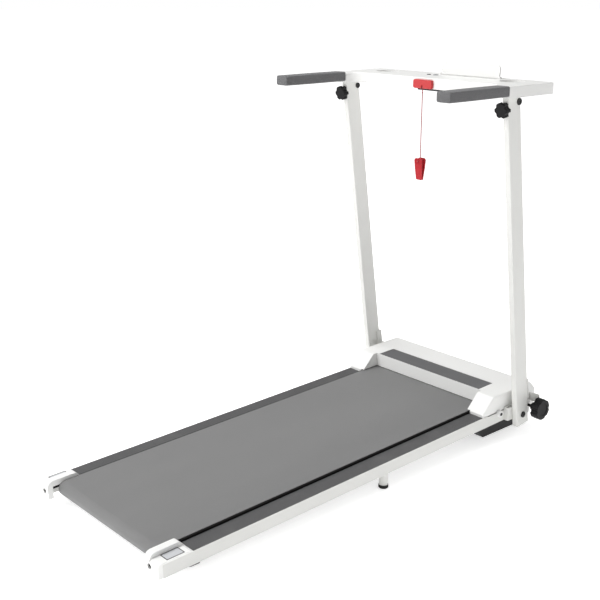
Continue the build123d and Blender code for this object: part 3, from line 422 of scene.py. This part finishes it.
def moulded(name, dark, light, rough, grain_scale=650.0, depth=0.00008, specular=0.25):
    """Moulded plastic: grain from fine noise, edges painted lighter as a painted highlight, and
    faint dust.
    """
    made = material(name)
    grain = noise(place(), grain_scale, 3.0, 0.65)
    dust = noise(place(), 12.0, 4.0).step(0.4, 0.85)
    painted_edge = painted_edge_shading(0.001)
    edge_highlight = tuple(min(1.0, c * 1.8 + 0.01) for c in light)
    colour = mix(dust * 0.5, dark, light)
    # Painted highlight: the edges are lightened towards a brighter copy of the light tone.
    colour = mix(painted_edge * 0.4, colour, edge_highlight)
    finish(colour, rough + grain * 0.12, bump=grain, depth=depth, specular=specular)
    return made


black_plastic = moulded("black_plastic", (0.016, 0.016, 0.017), (0.030, 0.030, 0.031), 0.46)
paint(black_plastic, "belly_pan", "power_inlet", "power_switch", "control_box")
foot_rubber = moulded("foot_rubber", grey(0.014), (0.035, 0.034, 0.033), 0.75,
                      grain_scale=300.0, depth=0.0002, specular=0.3)
paint(foot_rubber, "rubber_feet", "deck_cushions", "drive_belt")


# ---- Cap panels ----
# A bare satin plate with a thin black edge, let into the shelf of each rear cap.

PANEL_X, PANEL_HALF_X = 0.2447, 0.01375
PANEL_Y, PANEL_HALF_Y = -0.60405, 0.02348
BORDER = 0.0020, 0.0024     # distances from the plate's edge between which the black ends

panel_plate = material("panel_plate")
x, y = axes(place())[:2]
from_side = PANEL_HALF_X - (x.math("ABSOLUTE") - PANEL_X).math("ABSOLUTE")
from_end = PANEL_HALF_Y - (y - PANEL_Y).math("ABSOLUTE")
border = 1 - from_side.math("MINIMUM", from_end).step(*BORDER)
film = noise(place(), 300.0, 2.0)
finish(mix(border, (0.56, 0.57, 0.59), (0.020, 0.020, 0.021)), 0.30 + film * 0.1,
       bump=film, depth=0.00002)
paint(panel_plate, "cap_panels")


# ---- Deck board, axles and rollers ----
# Black-sealed waxed fibreboard under the belt, ground steel rollers and pins, and zinc-plated
# axles, tubes and plates.

waxed_board = material("waxed_board")
fibre = noise(place((1, 1, 6)), 160.0, 5.0, 0.7)
finish(mix(fibre, grey(0.007), (0.014, 0.013, 0.013)), 0.75, bump=fibre, depth=0.00015,
       specular=0.1)
paint(waxed_board, "deck_board")


def turned_steel(name, light, dark, rough):
    """Bare steel with fine turning rings across X."""
    made = material(name)
    rings = noise(place((900, 6, 6)), 1.0, 3.0)
    stain = noise(place(), 40.0, 3.0)
    finish(mix(stain, light, dark), rough + rings * 0.15, metal=1.0, bump=rings, depth=0.00003)
    return made


ground_steel = turned_steel("ground_steel", (0.60, 0.60, 0.61), (0.52, 0.52, 0.53), 0.22)
paint(ground_steel, "rear_roller", "front_roller", "rest_pin", "motor_shaft", "roller_pulley")
zinc_plate = turned_steel("zinc_plate", (0.55, 0.56, 0.58), (0.45, 0.46, 0.48), 0.35)
paint(zinc_plate, "rear_axle", "front_axle", "roller_bearings", "handle_tubes",
      "console_tongues", "switch_pin", "key_dock")


# ---- Motor and its controller ----
# A painted steel can and a cast aluminium box with fins, both inside the hood.

motor_paint = powder("motor_paint", (0.12, 0.125, 0.135), (0.10, 0.105, 0.115))
paint(motor_paint, "motor_body")
fin_casting = material("fin_casting")
sand = noise(place(), 500.0, 3.0, 0.7)
finish(mix(sand, (0.50, 0.50, 0.51), (0.60, 0.60, 0.62)), 0.45, metal=1.0, bump=sand,
       depth=0.0001)
paint(fin_casting, "controller_box")


# ---- Hood and rear caps ----
# A white moulded cover over the motor bay, satin on its flats, with a grey plate let into it.
# The rear caps are moulded in the same plastic.

def white_moulding(name, light, dark, rough=0.30):
    """White moulded plastic: satin skin, soft clouds of tone, slightly greyer edges as painted
    shade.
    """
    made = material(name)
    skin = noise(place(), 1100.0, 2.0)
    cloud = noise(place(), 4.0, 3.0)
    colour = mix(cloud.step(0.3, 0.75), light, dark)
    # Painted shade: the edges are greyed.
    colour = mix(painted_edge_shading(0.001) * 0.25, colour, (0.66, 0.66, 0.65))
    finish(colour, rough + skin * 0.08, bump=skin, depth=0.00003)
    return made


# Painted light: this white is set brighter than the console's, to lift the hood's shaded faces.
hood_white_painted_light = white_moulding("hood_white_painted_light", (0.88, 0.88, 0.865), (0.86, 0.86, 0.845))
paint(hood_white_painted_light, "motor_hood", "rear_cap_right", "rear_cap_left")
insert_plate = moulded("insert_plate", (0.125, 0.125, 0.128), (0.155, 0.155, 0.158), 0.32,
                       grain_scale=800.0, depth=0.00004)
paint(insert_plate, "hood_insert")


# ---- Uprights ----
# Flat-sided oval steel tubes in the same kind of white coat as the rails, a little glossier.

mast_coat = powder("mast_powder_coat", (0.735, 0.735, 0.712), (0.715, 0.715, 0.692), 0.36)
paint(mast_coat, "upright_right", "upright_left")


# ---- Lock knobs and star knobs ----
# Black moulded knobs, their flute edges painted a little lighter as a painted highlight.

knob_plastic = moulded("knob_plastic", (0.008, 0.008, 0.009), (0.016, 0.016, 0.017), 0.40,
                       grain_scale=500.0, specular=0.15)
paint(knob_plastic, "lock_knob_right", "lock_knob_left", "star_knob_right", "star_knob_left")


# ---- Console ----
# A shallow white moulded shell on a flat base, with cup wells, a clip-up tablet rest and two
# small buttons.

# Painted shade: the same white moulding set darker, to tone down the console's brightly lit top.
console_white_painted_shade = white_moulding("console_white_painted_shade", (0.77, 0.77, 0.755), (0.75, 0.75, 0.735), 0.34)
paint(console_white_painted_shade, "console_top", "console_base", "tablet_rest")
button_black = moulded("button_black", (0.015, 0.015, 0.016), grey(0.03), 0.3)
paint(button_black, "power_button")
button_grey = moulded("button_grey", (0.20, 0.21, 0.22), (0.26, 0.27, 0.28), 0.35)
paint(button_grey, "mode_button")


# ---- Console screws ----
# Eight zinc-plated pan-head screws that hold the base to the shell from below.

SCREW_RADIUS = 0.0042
SCREW_RISE = 0.0021
SCREW_SLOT, SCREW_DIP = 0.00055, 0.0009     # half width and depth of the driver's cross
SCREW_SEAT = 962.2                          # underside of the base, in millimetres
SCREW_SPOTS = [(150, 1085), (-150, 1085), (240, 1122), (-240, 1122),
               (240, 1205), (-240, 1205), (150, 1205), (-150, 1205)]

screw_zinc = turned_steel("screw_zinc", (0.58, 0.59, 0.61), (0.48, 0.49, 0.51), 0.30)


def spot(x, y, z):
    """A point given in millimetres from the rail ends, in the frame's metres."""
    return (x / 1000, y / 1000 - CENTRE_Y, z / 1000)


def pan_head(name, at):
    """Round head hanging below a point. Its drop is a quarter ellipse of the distance from the
    axis, less a cross-shaped dip that ends at a little over half the radius."""
    turn = np.linspace(0, 2 * np.pi, 48, endpoint=False)[:, None]
    out = (1 - np.linspace(0, 0.98, 14) ** 1.2)[None, :] * SCREW_RADIUS
    along, across = out * np.cos(turn), out * np.sin(turn)
    drop = SCREW_RISE * np.sqrt(np.clip(1 - (out / SCREW_RADIUS) ** 2, 0, 1)) + 0 * turn
    cross = np.minimum(np.abs(along), np.abs(across)) < SCREW_SLOT
    dip = np.where(cross, SCREW_DIP, 0.0) * (out < 0.55 * SCREW_RADIUS)
    points = np.stack([at[0] + along, at[1] + across, at[2] - drop + dip], -1)
    head = grid_mesh(name, points, wrap_u=True, caps=True)
    outward(head)
    smooth(head, 35)
    paint(screw_zinc, head)
    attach(head, "console")


for number, (screw_x, screw_y) in enumerate(SCREW_SPOTS, start=1):
    pan_head(f"console_screw_{number}", spot(screw_x, screw_y, SCREW_SEAT))


# ---- Grips ----
# Sleeves of closed-cell grey foam pushed over the handle tubes: a soft rounded oblong with
# rounded closed ends, a little fuller at the middle.

GRIP_ROUND = 0.004          # rounding of the free end
GRIP_SWELL = 0.0004         # how much less thick the ends are than the middle
GRIP_CORNER = 0.24          # power of the section's superellipse: 1 is round, 0 is square
GRIP_SIDES, GRIP_ROWS, GRIP_END_ROWS = 72, 48, 9


def cells(where, scale):
    """Distance to the nearest of many scattered points."""
    return Wire.add("ShaderNodeTexVoronoi", {}, {"Vector": where, "Scale": scale})[0]


foam = material("grip_foam")
pores = cells(place(), 900.0).step(0.0, 0.6)
dimples = noise(place(), 160.0, 4.0)
finish(mix(pores * 0.7 + dimples * 0.3, (0.080, 0.080, 0.082), (0.140, 0.140, 0.144)), 0.88,
       bump=pores + dimples * 0.6, depth=0.0004, sheen=0.2, specular=0.25)


def foam_sleeve(name, source):
    """Superellipse section carried along Y. Its size grows over the rounded rear end as a
    quarter circle and swells slightly in the middle as half a sine wave."""
    low, high = (np.array(corner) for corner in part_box(source))
    mid = (low + high) / 2
    half_w, half_h = (high[0] - low[0]) / 2, (high[2] - low[2]) / 2
    along = np.r_[np.linspace(0, 1, GRIP_END_ROWS)[:-1] ** 1.5 * GRIP_ROUND,
                  np.linspace(GRIP_ROUND, high[1] - low[1], GRIP_ROWS)]
    end = np.clip(along / GRIP_ROUND, 0, 1)
    shrink = GRIP_ROUND * (1 - np.sqrt(1 - (1 - end) ** 2))
    swell = -GRIP_SWELL * (1 - np.sin(np.pi * along / along[-1]))
    angle = np.linspace(0, 2 * np.pi, GRIP_SIDES, endpoint=False)
    c, s = np.cos(angle), np.sin(angle)
    ring_x = np.sign(c) * np.abs(c) ** GRIP_CORNER
    ring_z = np.sign(s) * np.abs(s) ** GRIP_CORNER
    points = np.zeros((GRIP_SIDES, len(along), 3))
    points[..., 0] = mid[0] + ring_x[:, None] * (half_w - shrink + swell)
    points[..., 1] = low[1] + along
    points[..., 2] = mid[2] + ring_z[:, None] * (half_h - shrink + swell)
    sleeve = grid_mesh(name, points, wrap_u=True, caps=True)
    outward(sleeve)
    smooth(sleeve, 50)
    paint(foam, sleeve)
    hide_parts(source)
    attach(sleeve, "console")


foam_sleeve("grip_sleeve_right", "grip_right")
foam_sleeve("grip_sleeve_left", "grip_left")


# ---- Safety key ----
# A red moulded key that a magnet holds on the console, with a notch for the lanyard.

key_red = material("key_red")
skin = noise(place(), 500.0, 2.0)
# Painted highlight: the key's edges are painted a lighter red.
finish(mix(painted_edge_shading(0.0008) * 0.5, (0.49, 0.024, 0.027), (0.60, 0.08, 0.08)),
       0.36 + skin * 0.1, bump=skin, depth=0.00005)
paint(key_red, "safety_key")


# ---- Clip ----
# A sprung clip moulded in dark red plastic, with ribs across its finger pads, that holds the
# lanyard to clothing.

RIB_TURNS = 2800.0          # radians in a metre
RIBS_FROM = 0.757, 0.759    # the ribs are above this height

clip_red = material("clip_red")
z = axes(place())[2]
ribs = (z * RIB_TURNS).math("SINE").step(-0.2, 0.4) * z.step(*RIBS_FROM)
finish(mix(noise(place(), 60.0), (0.39, 0.006, 0.013), (0.46, 0.010, 0.018)), 0.45,
       bump=ribs, depth=0.0004, specular=0.25)
paint(clip_red, "clip_front_jaw", "clip_back_jaw")


# ---- Lanyard ----
# A thin round red cord, knotted in the safety key's notch and below it, that hangs straight
# down and passes through the clip's hole to a last knot on the runner's side.

CORD_RADIUS = 0.00125
CORD_Y = 1.0602             # where the cord hangs, in metres from the rail ends
BRAID_STARTS = 4.0          # strands each way round the cord
BRAID_TURNS = 2600.0        # radians of each strand's wave in a metre
CORD_ROUTE = [
    spot(0.0, 1060.2, 966.0),
    spot(0.0, 1060.2, 806.0),
    spot(0.0, 1060.2, 790.0),
    spot(1.8, 1060.0, 774.0),
    spot(0.3, 1056.5, 767.6),
    spot(0.0, 1049.6, 767.0),
]

line = bpy.data.curves.new("lanyard", "CURVE")
line.dimensions = "3D"
route = line.splines.new("NURBS")
route.points.add(len(CORD_ROUTE) - 1)
route.points.foreach_set("co", np.c_[CORD_ROUTE, np.ones(len(CORD_ROUTE))].ravel())
route.order_u = 3
route.use_endpoint_u = True
route.resolution_u = 24
line.bevel_depth = CORD_RADIUS
line.bevel_resolution = 4
line.use_fill_caps = True
lanyard = bpy.data.objects.new("lanyard", line)
scene.collection.objects.link(lanyard)

braid = material("braided_cord")
x, y, z = axes(place())
turn = x.math("ARCTAN2", y + (CENTRE_Y - CORD_Y))
strand = (turn * BRAID_STARTS + z * BRAID_TURNS).math("SINE")
other = (turn * -BRAID_STARTS + z * BRAID_TURNS).math("SINE")
weave = strand * other
finish(mix(weave.step(-1, 1), (0.28, 0.02, 0.028), (0.48, 0.07, 0.075)), 0.7,
       bump=weave, depth=0.0002, sheen=0.3)
paint(braid, lanyard, "lanyard_knots")

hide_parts("lanyard_cord")
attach(lanyard, "lanyard")
